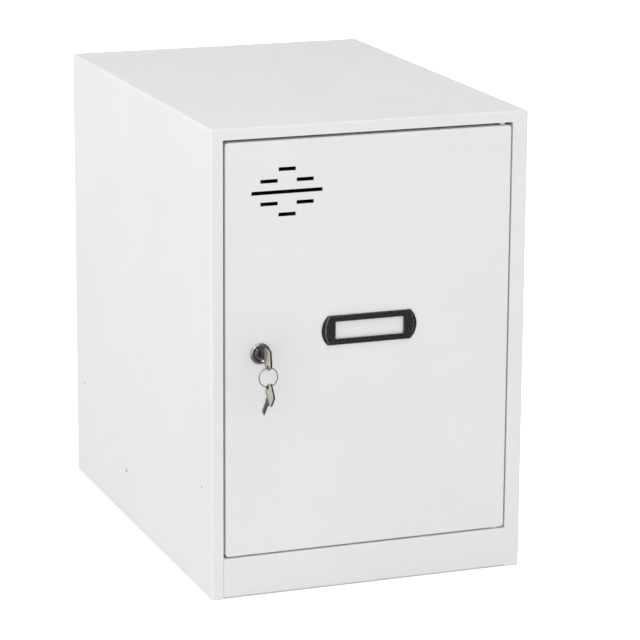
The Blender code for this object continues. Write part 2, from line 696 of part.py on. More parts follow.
# --- keys ------------------------------------------------------------------------------------
def key_outlines():
    """The key's edge and eyelet hole, from the eyelet: blade towards +a, bow up towards +b."""
    axis = EYELET_DROP
    rear = 10 * MM
    blade = 3.5 * MM
    edge = [(rear - 4 * MM, -3 * MM), (rear - 1 * MM, -1.5 * MM), (rear, 1.5 * MM)]
    edge += [(rear, axis - blade - 0.5 * MM), (rear + 0.5 * MM, axis - blade)]
    for notch, deep in enumerate((1.2, 0.6, 1.5, 0.8)):
        start = KEY_TIP - (16 - 3.6 * notch) * MM
        edge += [(start, axis - blade), (start + 0.9 * MM, axis - blade + deep * MM),
                 (start + 1.8 * MM, axis - blade + deep * MM), (start + 2.6 * MM, axis - blade)]
    edge += [(KEY_TIP - 0.8 * MM, axis - blade), (KEY_TIP, axis - 1.2 * MM)]
    edge += [(KEY_TIP - 1.5 * MM, axis + blade)]
    edge += [(rear + 0.5 * MM, axis + blade), (rear, axis + blade + 0.5 * MM)]
    edge += arc((rear - 2.5 * MM, BOW_TOP - 2.5 * MM), 2.5 * MM, 0, 90, 4)
    edge += arc((-5.2 * MM, BOW_TOP - 2.5 * MM), 2.5 * MM, 90, 175, 4)
    edge += arc((-7.8 * MM, 4.5 * MM), 2.8 * MM, 185, 235, 3)
    edge += [(-2.5 * MM, -2.9 * MM)]
    hole = arc((0, 0), EYELET_R, 0, 345, 23)
    return [edge, hole]


def build_keys():
    # The outline's a axis points into the cabinet, its b axis up and its normal along +X.
    upright = Matrix(((0, 0, 1, 0), (1, 0, 0, 0), (0, 1, 0, 0), (0, 0, 0, 1)))
    key = plate("key", key_outlines(), KEY_THICK, NICKEL, Matrix.Translation(EYELET) @ upright)
    add_bevel(key, 0.3 * MM, 1, 60)
    bpy.ops.mesh.primitive_torus_add(major_radius=RING_R, minor_radius=RING_WIRE_R, major_segments=64,
                                     minor_segments=12, location=RING_CENTRE, rotation=(math.pi / 2, 0, 0))
    ring = bpy.context.object
    ring.name = "key_ring"
    for collection in list(ring.users_collection):
        collection.objects.unlink(ring)
    PARTS.objects.link(ring)
    ring.data.materials.append(make_material("key_ring", NICKEL))
    smooth(ring)
    # The spare hangs the other way round: bow forward and down, blade back and down.
    blade = Vector((0, math.cos(SPARE_LEAN), -math.sin(SPARE_LEAN)))
    bow = Vector((0, -math.sin(SPARE_LEAN), -math.cos(SPARE_LEAN)))
    hanging = Matrix((blade, bow, blade.cross(bow))).transposed().to_4x4()
    spare = plate("spare_key", key_outlines(), KEY_THICK, NICKEL, Matrix.Translation(SPARE_EYELET) @ hanging)
    add_bevel(spare, 0.3 * MM, 1, 60)


clear_scene()
PARTS = new_collection("locker_cabinet")
CUTTERS = new_collection("cutters")
build_body_wrapper()
build_back_panel()
build_floor_panel()
build_plinth_panel()
build_base_rails()
build_strike()
build_bushes()
build_door_skin()
build_door_stiffener()
build_hinge()
build_label_holder()
build_lock_housing()
build_lock_core()
build_keys()
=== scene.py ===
"""Looks of the locker cabinet: materials, fine pieces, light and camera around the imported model."""
import json
import math

import bmesh
import bpy
from mathutils import Matrix, Vector


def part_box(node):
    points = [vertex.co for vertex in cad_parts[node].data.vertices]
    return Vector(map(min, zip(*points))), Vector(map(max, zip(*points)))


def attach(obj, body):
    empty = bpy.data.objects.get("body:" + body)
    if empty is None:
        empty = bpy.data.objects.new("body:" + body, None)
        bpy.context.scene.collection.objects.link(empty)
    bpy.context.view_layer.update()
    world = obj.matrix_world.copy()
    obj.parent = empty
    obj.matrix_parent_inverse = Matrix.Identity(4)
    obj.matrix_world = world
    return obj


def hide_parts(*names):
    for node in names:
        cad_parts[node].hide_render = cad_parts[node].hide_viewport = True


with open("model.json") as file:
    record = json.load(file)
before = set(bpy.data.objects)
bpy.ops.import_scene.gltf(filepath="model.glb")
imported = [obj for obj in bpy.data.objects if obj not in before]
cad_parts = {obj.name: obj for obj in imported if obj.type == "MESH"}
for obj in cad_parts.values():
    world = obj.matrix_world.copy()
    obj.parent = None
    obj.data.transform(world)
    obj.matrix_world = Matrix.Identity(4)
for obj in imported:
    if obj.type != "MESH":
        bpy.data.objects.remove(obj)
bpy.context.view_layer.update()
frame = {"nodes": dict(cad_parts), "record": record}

NODES = frame["nodes"]
MM = 0.001


def middle(node):
    """The centre of a CAD node's box at rest."""
    low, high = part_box(node)
    return (Vector(low) + Vector(high)) / 2


# --- sizes in millimetres -------------------------------------------------------------
KEY_REACH = 25.0        # the key's eyelet in front of the door
KEY_AXIS = 8.5          # the blade's middle above the eyelet
KEY_REAR = 9.6          # from the eyelet to the bow's edge, towards the lock
KEY_TIP = 34.8          # from the eyelet to the blade's tip
COLLAR_END = 17.4       # from the eyelet to the end of the blade's collar
BLADE_HALF = 3.5        # half the blade's height
BOW_TOP = 19.0          # the bow's top edge above the eyelet
SPARE_DROP = 10.5       # the spare key's eyelet below the ring's middle

# --- places, from the CAD nodes -------------------------------------------------------
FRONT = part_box("door_skin")[0][1]
LOCK = Vector((middle("lock_housing").x, FRONT, middle("lock_housing").z))
EYELET = LOCK + Vector((0, -KEY_REACH, -KEY_AXIS)) * MM
RING = middle("key_ring")
SPARE_EYELET = Vector((EYELET.x, EYELET.y, RING.z - SPARE_DROP * MM))
SPARE_LEAN = math.radians(50)
INWARD = Matrix.Rotation(-math.pi / 2, 4, "X")      # turns +Z into the cabinet
FACING = Matrix.Rotation(math.pi / 2, 4, "X")       # stands a flat outline up, facing the front


# --- node helpers ---------------------------------------------------------------------
class Shader:
    """A Principled material whose colour, roughness and relief come from procedural nodes."""

    def __init__(self, name, **fixed):
        self.material = bpy.data.materials.new(name)
        self.material.use_nodes = True
        self.tree = self.material.node_tree
        self.bsdf = self.tree.nodes["Principled BSDF"]
        for socket, value in fixed.items():
            self.bsdf.inputs[socket.replace("_", " ")].default_value = value
        self.place = self.node("ShaderNodeTexCoord").outputs["Object"]

    def node(self, kind, **settings):
        made = self.tree.nodes.new(kind)
        for name, value in settings.items():
            setattr(made, name, value)
        return made

    def link(self, source, target):
        self.tree.links.new(source, target)

    def noise(self, scale, detail, coarseness=0.5):
        made = self.node("ShaderNodeTexNoise")
        made.inputs["Scale"].default_value = scale
        made.inputs["Detail"].default_value = detail
        made.inputs["Roughness"].default_value = coarseness
        self.link(self.place, made.inputs["Vector"])
        return made.outputs["Fac"]

    def spread(self, source, low, high, start=0.35, end=0.65):
        """Maps a source from start..end onto low..high, and holds it there beyond them."""
        made = self.node("ShaderNodeMapRange")
        for name, value in (("From Min", start), ("From Max", end), ("To Min", low), ("To Max", high)):
            made.inputs[name].default_value = value
        self.link(source, made.inputs["Value"])
        return made.outputs["Result"]

    def blend(self, factor, first, second):
        """Mixes two colours by a factor; either colour may be a socket."""
        made = self.node("ShaderNodeMix", data_type="RGBA")
        self.link(factor, made.inputs["Factor"])
        for name, value in (("A", first), ("B", second)):
            socket = [s for s in made.inputs if s.name == name and s.type == "RGBA"][0]
            if isinstance(value, tuple):
                socket.default_value = (*value, 1.0)
            else:
                self.link(value, socket)
        return [s for s in made.outputs if s.type == "RGBA"][0]

    def mottle(self, first, second, scale, detail, coarseness=0.5, start=0.35, end=0.65):
        """Colour that drifts from one tone to the other."""
        factor = self.spread(self.noise(scale, detail, coarseness), 0.0, 1.0, start, end)
        self.link(self.blend(factor, first, second), self.bsdf.inputs["Base Color"])

    def polish(self, low, high, scale, detail):
        """Roughness that drifts between two values."""
        self.link(self.spread(self.noise(scale, detail), low, high), self.bsdf.inputs["Roughness"])

    def grain(self, depth, scale, detail, coarseness=0.5, strength=0.5):
        """Relief of a real depth in metres."""
        height = self.noise(scale, detail, coarseness)
        made = self.node("ShaderNodeBump")
        made.inputs["Strength"].default_value = strength
        made.inputs["Distance"].default_value = depth
        self.link(height, made.inputs["Height"])
        self.link(made.outputs["Normal"], self.bsdf.inputs["Normal"])


# --- materials ------------------------------------------------------------------------
MOULDED = {"scale": 560.0, "detail": 6.0, "coarseness": 0.75}      # the grain of moulded plastic


def powder_coat():
    shader = Shader("satin_powder_coat", IOR=1.5, Specular_IOR_Level=0.4)
    shader.mottle((0.793, 0.794, 0.796), (0.777, 0.778, 0.781), scale=9.0, detail=4.0)
    shader.polish(0.49, 0.55, scale=60.0, detail=5.0)
    shader.grain(0.00003, scale=520.0, detail=2.0)
    return shader.material


def zinc_plate():
    shader = Shader("bright_zinc_plate", Metallic=1.0)
    shader.mottle((0.66, 0.66, 0.64), (0.54, 0.55, 0.56), scale=140.0, detail=4.0)
    shader.polish(0.24, 0.42, scale=400.0, detail=3.0)
    shader.grain(0.00002, scale=1500.0, detail=3.0)
    return shader.material


def lock_chrome():
    shader = Shader("lock_chrome", Metallic=1.0)
    shader.mottle((0.64, 0.63, 0.60), (0.48, 0.46, 0.42), scale=180.0, detail=4.0)
    shader.polish(0.12, 0.26, scale=500.0, detail=4.0)
    shader.grain(0.00001, scale=2500.0, detail=3.0)
    return shader.material


def key_nickel():
    shader = Shader("key_nickel", Metallic=1.0)
    shader.mottle((0.76, 0.72, 0.63), (0.62, 0.58, 0.49), scale=220.0, detail=5.0)
    shader.polish(0.26, 0.46, scale=700.0, detail=4.0)
    shader.grain(0.00003, scale=1800.0, detail=4.0, strength=0.6)
    return shader.material


def ring_steel():
    shader = Shader("ring_spring_steel", Metallic=1.0)
    shader.mottle((0.40, 0.39, 0.38), (0.26, 0.255, 0.25), scale=180.0, detail=4.0)
    shader.polish(0.16, 0.30, scale=500.0, detail=4.0)
    shader.grain(0.00001, scale=2500.0, detail=3.0)
    return shader.material


def painted_key_shade():
    """The key's cut edges and milled blade, duller and darker than its faces: painted shade that stands in
    for the shade and dark reflections on them.
    """
    shader = Shader("key_nickel_painted_shade", Metallic=1.0)
    shader.mottle((0.20, 0.19, 0.165), (0.11, 0.105, 0.09), scale=260.0, detail=4.0)
    shader.polish(0.26, 0.42, scale=600.0, detail=3.0)
    shader.grain(0.00004, scale=1500.0, detail=3.0, strength=0.6)
    return shader.material


def black_plastic():
    shader = Shader("moulded_black_plastic", IOR=1.5, Specular_IOR_Level=0.9)
    shader.mottle((0.003, 0.003, 0.004), (0.060, 0.060, 0.063), **MOULDED, start=0.46, end=0.68)
    shader.polish(0.18, 0.32, scale=300.0, detail=4.0)
    shader.grain(0.00010, **MOULDED, strength=0.7)
    return shader.material


def painted_highlight_plastic():
    """The same plastic painted paler: a painted highlight that stands in for the reflection along the frame's
    end steps.
    """
    shader = Shader("black_plastic_painted_highlight", IOR=1.5, Specular_IOR_Level=0.9)
    shader.mottle((0.030, 0.030, 0.032), (0.170, 0.170, 0.175), **MOULDED)
    shader.polish(0.20, 0.34, scale=300.0, detail=4.0)
    shader.grain(0.00006, **MOULDED, strength=0.6)
    return shader.material


def white_nylon():
    shader = Shader("white_nylon", IOR=1.53, Subsurface_Weight=0.08)
    shader.mottle((0.78, 0.77, 0.73), (0.71, 0.70, 0.66), scale=120.0, detail=3.0)
    shader.polish(0.38, 0.52, scale=300.0, detail=3.0)
    shader.grain(0.00003, scale=900.0, detail=2.0)
    return shader.material


def black_rubber():
    shader = Shader("black_rubber", IOR=1.5)
    shader.mottle((0.020, 0.020, 0.020), (0.038, 0.037, 0.036), scale=200.0, detail=4.0)
    shader.polish(0.60, 0.78, scale=300.0, detail=3.0)
    shader.grain(0.00005, scale=700.0, detail=3.0, strength=0.6)
    return shader.material


FINISHES = {
    "powder_coat": powder_coat(),
    "zinc_plate": zinc_plate(),
    "lock_chrome": lock_chrome(),
    "nickel": key_nickel(),
    "black_plastic": black_plastic(),
    "white_nylon": white_nylon(),
    "black_rubber": black_rubber(),
}
# Painted shade for the key: a darker nickel on its edges, blade and eyelet.
KEY_PAINTED_SHADE = painted_key_shade()


def finish_frame():
    """Gives every CAD node the finish of its material slot."""
    for part in frame["record"]["subparts"]:
        node = NODES[part["node"]]
        for index in range(len(node.material_slots)):
            node.material_slots[index].material = FINISHES[part["material_slot"]]


finish_frame()


# --- outlines -------------------------------------------------------------------------
def arc(centre, radius, start, end, steps):
    """Points of an arc in degrees, first and last included."""
    points = []
    for i in range(steps + 1):
        angle = math.radians(start + (end - start) * i / steps)
        points.append((centre[0] + radius * math.cos(angle), centre[1] + radius * math.sin(angle)))
    return points


def circle(radius, steps=48):
    return arc((0, 0), radius, 0, 360 - 360 / steps, steps - 1)


def inset(points, distance):
    """Moves a closed outline, drawn anticlockwise, inwards by a distance."""
    sharpest = 0.4      # keeps a sharp corner from running far inwards
    moved = []
    for i, point in enumerate(points):
        here = Vector(point)
        before = (here - Vector(points[i - 1])).normalized()
        after = (Vector(points[(i + 1) % len(points)]) - here).normalized()
        normal = Vector((-before.y - after.y, before.x + after.x)).normalized()
        lean = max(sharpest, normal.dot(Vector((-after.y, after.x))))
        moved.append(tuple(here + normal * distance / lean))
    return moved


def mm(points):
    """An outline drawn in millimetres, in metres."""
    return [(a * MM, b * MM) for a, b in points]


# --- meshes ---------------------------------------------------------------------------
def finished_mesh(form, name):
    """Turns a bmesh into a mesh and frees it."""
    mesh = bpy.data.meshes.new(name)
    form.to_mesh(mesh)
    form.free()
    return mesh


def plate_mesh(outlines, thickness, soft):
    """A flat plate with softened edges; the first outline is its edge and the others are holes."""
    curve = bpy.data.curves.new("outline", "CURVE")
    curve.dimensions = "2D"
    curve.fill_mode = "BOTH"
    curve.extrude = thickness / 2 - soft
    curve.bevel_depth = soft
    curve.bevel_resolution = 2
    curve.offset = -soft
    for outline in outlines:
        spline = curve.splines.new("POLY")
        spline.points.add(len(outline) - 1)
        for point, (a, b) in zip(spline.points, outline):
            point.co = (a, b, 0, 1)
        spline.use_cyclic_u = True
    holder = bpy.data.objects.new("outline", curve)
    bpy.context.scene.collection.objects.link(holder)
    graph = bpy.context.evaluated_depsgraph_get()
    mesh = bpy.data.meshes.new_from_object(holder.evaluated_get(graph))
    bpy.data.objects.remove(holder, do_unlink=True)
    return mesh


def turned_mesh(profile, steps=64):
    """A solid turned about Z from (radius, height) points; the profile closes on itself."""
    form = bmesh.new()
    rings = []
    for radius, height in profile:
        count = steps if radius > 0 else 1
        ring = []
        for i in range(count):
            turn = math.tau * i / steps
            ring.append(form.verts.new((radius * math.cos(turn), radius * math.sin(turn), height)))
        rings.append(ring)
    for one, two in zip(rings, rings[1:] + rings[:1]):
        if len(one) == len(two) == 1:
            continue
        for i in range(steps):
            j = (i + 1) % steps
            around = [one[i % len(one)], one[j % len(one)], two[j % len(two)], two[i % len(two)]]
            form.faces.new(list(dict.fromkeys(around)))
    bmesh.ops.recalc_face_normals(form, faces=form.faces)
    return finished_mesh(form, "turned")


def wire_mesh(points, radius, sides=10):
    """A round wire along an open path that doesn't run along Y."""
    form = bmesh.new()
    rings = []
    last = len(points) - 1
    for i, point in enumerate(points):
        along = (Vector(points[min(i + 1, last)]) - Vector(points[max(i - 1, 0)])).normalized()
        side = along.cross(Vector((0, 1, 0))).normalized()
        up = side.cross(along)
        ring = []
        for k in range(sides):
            turn = math.tau * k / sides
            offset = side * math.cos(turn) + up * math.sin(turn)
            ring.append(form.verts.new(Vector(point) + offset * radius))
        rings.append(ring)
    for one, two in zip(rings, rings[1:]):
        for k in range(sides):
            form.faces.new((one[k], one[(k + 1) % sides], two[(k + 1) % sides], two[k]))
    form.faces.new(rings[0])
    form.faces.new(rings[-1])
    bmesh.ops.recalc_face_normals(form, faces=form.faces)
    return finished_mesh(form, "wire")


def ringed_mesh(outer, inner):
    """A closed plate round a window, from rings of (outline, height) that run from back to front."""
    form = bmesh.new()
    backs, fronts = [], []
    for rings in (outer, inner):
        loops = [[form.verts.new((a, b, height * MM)) for a, b in outline] for outline, height in rings]
        for one, two in zip(loops, loops[1:]):
            for i in range(len(one)):
                j = (i + 1) % len(one)
                form.faces.new((one[i], one[j], two[j], two[i]))
        backs += [form.edges.get((loops[0][i - 1], loops[0][i])) for i in range(len(loops[0]))]
        fronts += [form.edges.get((loops[-1][i - 1], loops[-1][i])) for i in range(len(loops[-1]))]
    for edges in (backs, fronts):
        bmesh.ops.triangle_fill(form, use_beauty=True, use_dissolve=False, edges=edges)
    bmesh.ops.recalc_face_normals(form, faces=form.faces)
    return finished_mesh(form, "ringed")


MERGE = 0.000002                    # in metres, well under the smallest detail
SHARP = math.radians(38)            # edges that turn by more than this are shaded sharp


def add_piece(name, shapes, body, slot, nodes=()):
    """One object from (mesh, matrix) shapes; it rides on a body and stands for CAD nodes."""
    form = bmesh.new()
    for mesh, matrix in shapes:
        shape = mesh.copy()
        shape.transform(matrix)
        form.from_mesh(shape)
    bmesh.ops.remove_doubles(form, verts=form.verts, dist=MERGE)
    bmesh.ops.recalc_face_normals(form, faces=form.faces)
    whole = finished_mesh(form, name)
    whole.polygons.foreach_set("use_smooth", [True] * len(whole.polygons))
    whole.set_sharp_from_angle(angle=SHARP)
    whole.materials.clear()
    whole.materials.append(FINISHES[slot])
    piece = bpy.data.objects.new(name, whole)
    bpy.context.scene.collection.objects.link(piece)
    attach(piece, body)
    if nodes:
        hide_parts(*nodes)
    return piece


# --- lock -----------------------------------------------------------------------------
def add_lock_housing():
    """A stepped, dished ring on the door's face and a threaded body behind it."""
    bore, crest, root, pitch = 6.6, 9.0, 8.6, 1.0
    profile = [(bore, 19.0), (8.3, 19.0), (8.7, 18.6)]
    for turn in range(15):
        depth = 17.6 - pitch * turn
        profile += [(crest, depth), (root, depth - pitch / 2)]
    profile += [(crest, -0.3), (11.0, -0.3), (11.2, -0.5), (11.2, -1.1), (11.0, -1.45), (10.55, -1.7)]
    profile += [(10.4, -1.75), (10.3, -2.1), (10.0, -2.5), (9.6, -2.72), (9.2, -2.8), (8.8, -2.78)]
    profile += [(8.45, -2.6), (8.3, -2.3), (8.15, -2.2), (7.8, -2.1), (7.55, -1.8), (7.4, -1.35)]
    profile += [(7.2, -1.2), (6.75, -1.15), (bore, -1.0)]
    place = Matrix.Translation(LOCK) @ INWARD
    add_piece("lock_face", [(turned_mesh(mm(profile), 96), place)], "door", "lock_chrome", ["lock_housing"])


def add_lock_plug():
    """The plug with its warded keyway, and the tail that carries the cam."""
    length, proud, radius = 15.3, 1.3, 6.3
    keyway = [(-1.3, -3.8), (1.3, -3.8), (1.3, -1.9), (1.05, -1.6), (1.05, -0.5), (1.3, -0.2), (1.3, 3.8)]
    keyway += [(-1.3, 3.8), (-1.3, 2.2), (-1.05, 1.9), (-1.05, 0.9), (-1.3, 0.6)]
    front = plate_mesh([mm(circle(radius, 64)), mm(keyway)], length * MM, 0.3 * MM)
    tail = [(0, 13.9), (6.25, 13.9), (6.25, 20.3), (4.0, 20.3), (4.0, 23.5), (3.8, 23.7), (0, 23.7)]
    shapes = [
        (front, Matrix.Translation(LOCK + Vector((0, (length / 2 - proud) * MM, 0))) @ FACING),
        (turned_mesh(mm(tail)), Matrix.Translation(LOCK) @ INWARD),
    ]
    add_piece("lock_plug_keyway", shapes, "lock_core", "lock_chrome", ["lock_plug"])


def on_lock_axis(node):
    """A CAD node's thickness, and where a flat outline stands at its depth on the lock's axis."""
    low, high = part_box(node)
    return high[1] - low[1], Matrix.Translation((LOCK.x, (low[1] + high[1]) / 2, LOCK.z)) @ FACING


def add_lock_nut():
    """The hexagon nut that draws the lock against the door."""
    corner, hole = 13.5 * MM, 9.15 * MM
    thick, place = on_lock_axis("lock_nut")
    nut = plate_mesh([arc((0, 0), corner, 0, 300, 5), circle(hole)], thick, 0.5 * MM)
    add_piece("lock_hexagon_nut", [(nut, place)], "door", "zinc_plate", ["lock_nut"])


def add_lock_cam():
    """A stamped cam with round ends, softened edges and a hole for the plug's tail."""
    hub, tip, hole = 9.0 * MM, 7.0 * MM, 4.2 * MM
    low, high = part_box("lock_cam")
    length = high[2] - low[2] - (hub + tip)
    lean = math.degrees(math.asin((hub - tip) / length))
    outline = arc((0, 0), hub, lean, 180 - lean, 24)
    outline += arc((0, -length), tip, 180 - lean, 360 + lean, 24)
    thick, place = on_lock_axis("lock_cam")
    blank = plate_mesh([outline, circle(hole)], thick, 0.35 * MM)
    add_piece("lock_cam_blank", [(blank, place)], "lock_core", "zinc_plate", ["lock_cam"])


# --- keys -----------------------------------------------------------------------------
def bow_outline():
    """The bow round its eyelet: a tall grip with two round shoulders and a narrow foot."""
    corner = 2.5
    edge = [(-2.5, -2.9), (KEY_REAR - 4, -3), (KEY_REAR - 1, -1.5), (KEY_REAR, 1.5)]
    edge += [(KEY_REAR, KEY_AXIS - BLADE_HALF), (KEY_REAR, KEY_AXIS + BLADE_HALF)]
    edge += arc((KEY_REAR - corner, BOW_TOP - corner), corner, 0, 90, 5)
    edge += arc((-4.9, BOW_TOP - corner), corner, 90, 175, 6)
    return edge + arc((-7.0, 4.4), 2.8, 185, 235, 5)


def blade_outline():
    """The blade from its collar to its tip, with cuts of several depths on both edges."""
    low, high = KEY_AXIS - BLADE_HALF, KEY_AXIS + BLADE_HALF
    collar, pitch = 0.9, 3.6
    root = KEY_REAR - 1.5
    edge = [(root, low - collar), (COLLAR_END, low - collar), (COLLAR_END + 0.4, low)]
    for notch, deep in enumerate((1.2, 0.6, 1.5, 0.8)):
        start = KEY_TIP - (16 - pitch * notch)
        edge += [(start, low), (start + 0.9, low + deep), (start + 1.8, low + deep), (start + 2.6, low)]
    edge += [(KEY_TIP - 0.8, low), (KEY_TIP, KEY_AXIS - 1.2), (KEY_TIP - 1.5, high)]
    for notch, deep in enumerate((1.3, 0.7, 1.4, 0.9)):
        start = KEY_TIP - (2.6 + pitch * notch)
        edge += [(start, high), (start - 0.8, high - deep), (start - 1.7, high - deep), (start - 2.5, high)]
    return edge + [(COLLAR_END + 0.4, high), (COLLAR_END, high + collar), (root, high + collar)]


def key_shapes(place):
    """A blank bow with a raised rim and eyelet ring, and a blade with a milled groove on each side."""
    bow = bow_outline()
    low, high = KEY_AXIS - BLADE_HALF, KEY_AXIS + BLADE_HALF
    root = KEY_REAR - 1
    spine = [(root, high - 2.7), (KEY_TIP - 1.2, high - 2.7), (KEY_TIP - 1.8, high - 1.6), (root, high - 1.6)]
    rib = [(root, low + 1.9), (KEY_TIP - 2, low + 1.9), (KEY_TIP - 2, low + 3.0), (root, low + 3.0)]
    layers = [      # outlines, thickness and softening
        ([bow, circle(1.6, 32)], 1.25, 0.2),
        ([bow, inset(bow, 1.25)], 2.0, 0.3),
        ([circle(2.5, 32), circle(1.55, 32)], 1.8, 0.2),
        ([blade_outline()], 1.1, 0.15),
        ([spine], 1.9, 0.25),
        ([rib], 1.7, 0.2),
    ]
    shapes = []
    for outlines, thickness, soft in layers:
        mesh = plate_mesh([mm(outline) for outline in outlines], thickness * MM, soft * MM)
        shapes.append((mesh, place))
    return shapes


def paint_key_shade(piece, place):
    """Gives the blade, the eyelet and every face that isn't flat to the key's plane the darker finish, which
    is painted shade.
    """
    piece.data.materials.append(KEY_PAINTED_SHADE)
    flat = place.to_3x3() @ Vector((0, 0, 1))
    back = place.inverted()
    for face in piece.data.polygons:
        spot = back @ face.center
        on_blade = spot.x > (KEY_REAR + 0.2) * MM
        on_eyelet = spot.xy.length < 2.5 * MM
        on_edge = abs(face.normal.dot(flat)) < 0.8
        if on_blade or on_eyelet or on_edge:
            face.material_index = 1


def add_keys():
    """The key in the lock, and the spare key of the same pattern that hangs from the ring."""
    # An outline's first axis points into the cabinet, its second up and its normal along +X.
    upright = Matrix(((0, 0, 1, 0), (1, 0, 0, 0), (0, 1, 0, 0), (0, 0, 0, 1)))
    place = Matrix.Translation(EYELET) @ upright
    paint_key_shade(add_piece("key_cut", key_shapes(place), "key", "nickel", ["key"]), place)
    blade = Vector((0, math.cos(SPARE_LEAN), -math.sin(SPARE_LEAN)))
    bow = Vector((0, -math.sin(SPARE_LEAN), -math.cos(SPARE_LEAN)))
    hanging = Matrix((blade, bow, blade.cross(bow))).transposed().to_4x4()
    place = Matrix.Translation(SPARE_EYELET) @ hanging
    paint_key_shade(add_piece("spare_key_cut", key_shapes(place), "spare_key", "nickel", ["spare_key"]), place)


def add_key_ring():
    """A split ring: two close turns of spring wire."""
    turns, steps, start = 2.0, 160, math.radians(60)
    radius, apart, wire = 10.1 * MM, 0.80 * MM, 0.5 * MM
    path = []
    for i in range(steps + 1):
        part = i / steps
        turn = math.tau * turns * part + start
        side = (part - 0.5) * apart
        path.append((RING.x + radius * math.cos(turn), RING.y + side, RING.z + radius * math.sin(turn)))
    shapes = [(wire_mesh(path, wire), Matrix())]
    ring = add_piece("split_ring", shapes, "key_ring", "lock_chrome", ["key_ring"])
    ring.data.materials[0] = ring_steel()


# --- label frame ----------------------------------------------------------------------
def lens_outline(flat, tall, rise):
    """A bar with bowed ends: half its straight length, half its height and the bow's rise."""
    radius = (tall ** 2 + rise ** 2) / (2 * rise)
    spread = math.degrees(math.asin(tall / radius))
    end = flat + rise - radius
    right = arc((end, 0), radius, -spread, spread, 20)
    left = arc((-end, 0), radius, 180 - spread, 180 + spread, 20)
    return mm(right + left)


def window_outline(wide, tall, corner):
    """A rectangle with round corners: half its width, half its height and the corners' radius."""
    points = []
    for sx, sy, start in ((1, 1, 0), (-1, 1, 90), (-1, -1, 180), (1, -1, 270)):
        spot = (sx * (wide - corner), sy * (tall - corner))
        points += arc(spot, corner, start, start + 90, 4)
    return mm(points)


def frame_edge(flat, tall, rise):
    """The frame's outer rings: a low crescent at each end, a step up and a flat face."""
    rings = [       # how far the straight part, the height and the bow draw in, and the ring's height
        (0.0, 0.1, 0.1, 0.0),
        (0.0, 0.0, 0.0, 0.2),
        (0.0, 0.0, 0.0, 0.7),
        (0.0, 0.2, 0.3, 0.95),
        (0.1, 0.25, 0.6, 0.97),
        (0.35, 0.35, 2.4, 1.03),
        (0.4, 0.4, 2.7, 1.05),
        (0.6, 0.55, 3.0, 1.2),
        (0.85, 0.8, 3.25, 1.9),
        (1.1, 1.05, 3.4, 2.15),
        (1.5, 1.4, 3.5, 2.25),
        (1.8, 1.6, 3.6, 2.25),
    ]
    return [(lens_outline(flat - a, tall - b, rise - c), height) for a, b, c, height in rings]


def frame_window():
    """The window's rings: a wall, a raised lip and the flat face round it."""
    wide, tall, corner = 38.2, 9.4, 1.0
    rings = [(0.0, 0.0), (0.0, 2.2), (0.2, 2.45), (1.0, 2.45), (1.2, 2.25), (1.5, 2.25)]
    return [(window_outline(wide + out, tall + out, corner + out), height) for out, height in rings]


def paint_step_highlights(piece, middle_x, beyond):
    """Gives the faces of the steps at the label frame's ends the paler finish, a painted highlight."""
    piece.data.materials.append(painted_highlight_plastic())
    for face in piece.data.polygons:
        at_end = abs(face.center.x - middle_x) > beyond
        on_step = 1.3 * MM < FRONT - face.center.y < 2.3 * MM
        leans = abs(face.normal.y) < 0.9
        if at_end and on_step and leans:
            face.material_index = 1


def add_label_frame():
    """A moulded frame: its ends step down to a crescent, its window has a lip and two pegs hold it."""
    flat, peg_out = 46.0, 43.5
    low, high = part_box("label_holder")
    tall = (high[2] - low[2]) / 2 / MM
    rise = (high[0] - low[0]) / 2 / MM - flat
    centre = Vector(((low[0] + high[0]) / 2, FRONT - 0.1 * MM, (low[2] + high[2]) / 2))
    plate = ringed_mesh(frame_edge(flat, tall, rise), frame_window())
    shapes = [(plate, Matrix.Translation(centre) @ FACING)]
    peg = turned_mesh(mm([(0, -0.5), (2.0, -0.5), (2.0, 5.2), (1.5, 5.7), (0, 5.7)]), 32)
    for side in (-1, 1):
        spot = Vector((centre.x + side * peg_out * MM, FRONT, centre.z))
        shapes.append((peg, Matrix.Translation(spot) @ INWARD))
    piece = add_piece("label_frame", shapes, "door", "black_plastic", ["label_holder"])
    # Painted highlight: the paler finish on the steps at both ends.
    paint_step_highlights(piece, centre.x, (flat - 1) * MM)


def add_label_clips():
    """Push-on clips with sprung teeth that grip the label frame's pegs."""
    grip, slot, count = 2.25, 3.5, 6
    teeth = []
    for tooth in range(count):
        turn = 360 / count * tooth
        teeth += arc((0, 0), grip, turn, turn + 36, 4) + arc((0, 0), slot, turn + 43, turn + 53, 2)
    outlines = [mm(circle(5.2)), mm(teeth)]
    for side in ("left", "right"):
        node = f"label_clip_{side}"
        low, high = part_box(node)
        clip = plate_mesh(outlines, high[1] - low[1], 0.25 * MM)
        place = Matrix.Translation(middle(node)) @ FACING
        add_piece(f"{node}_teeth", [(clip, place)], "door", "zinc_plate", [node])


# --- kick panel and door bearings -----------------------------------------------------
def add_plinth_joint():
    """The coated butt joint between the kick panel's right end and the stile."""
    sheet, fold, steps = 1.0 * MM, 2.0 * MM, 6
    overlap, gap = 0.02 * MM, 0.28 * MM
    low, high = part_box("plinth_panel")
    outer = [(FRONT, low[2])]
    inner = [(FRONT + sheet, low[2])]
    for step in range(steps + 1):
        turn = math.radians(90 * step / steps)
        for line, radius in ((outer, fold), (inner, fold - sheet)):
            back = FRONT + fold - radius * math.cos(turn)
            line.append((back, high[2] - fold + radius * math.sin(turn)))
    section = outer + inner[::-1]
    form = bmesh.new()
    ends = [[form.verts.new((x, y, z)) for y, z in section] for x in (high[0] - overlap, high[0] + gap)]
    count = len(section)
    for i in range(count):
        j = (i + 1) % count
        form.faces.new((ends[0][i], ends[0][j], ends[1][j], ends[1][i]))
    for end in ends:
        for i in range(len(outer) - 1):
            form.faces.new((end[i], end[i + 1], end[count - 2 - i], end[count - 1 - i]))
    add_piece("plinth_joint", [(finished_mesh(form, "joint"), Matrix())], "carcass", "powder_coat")


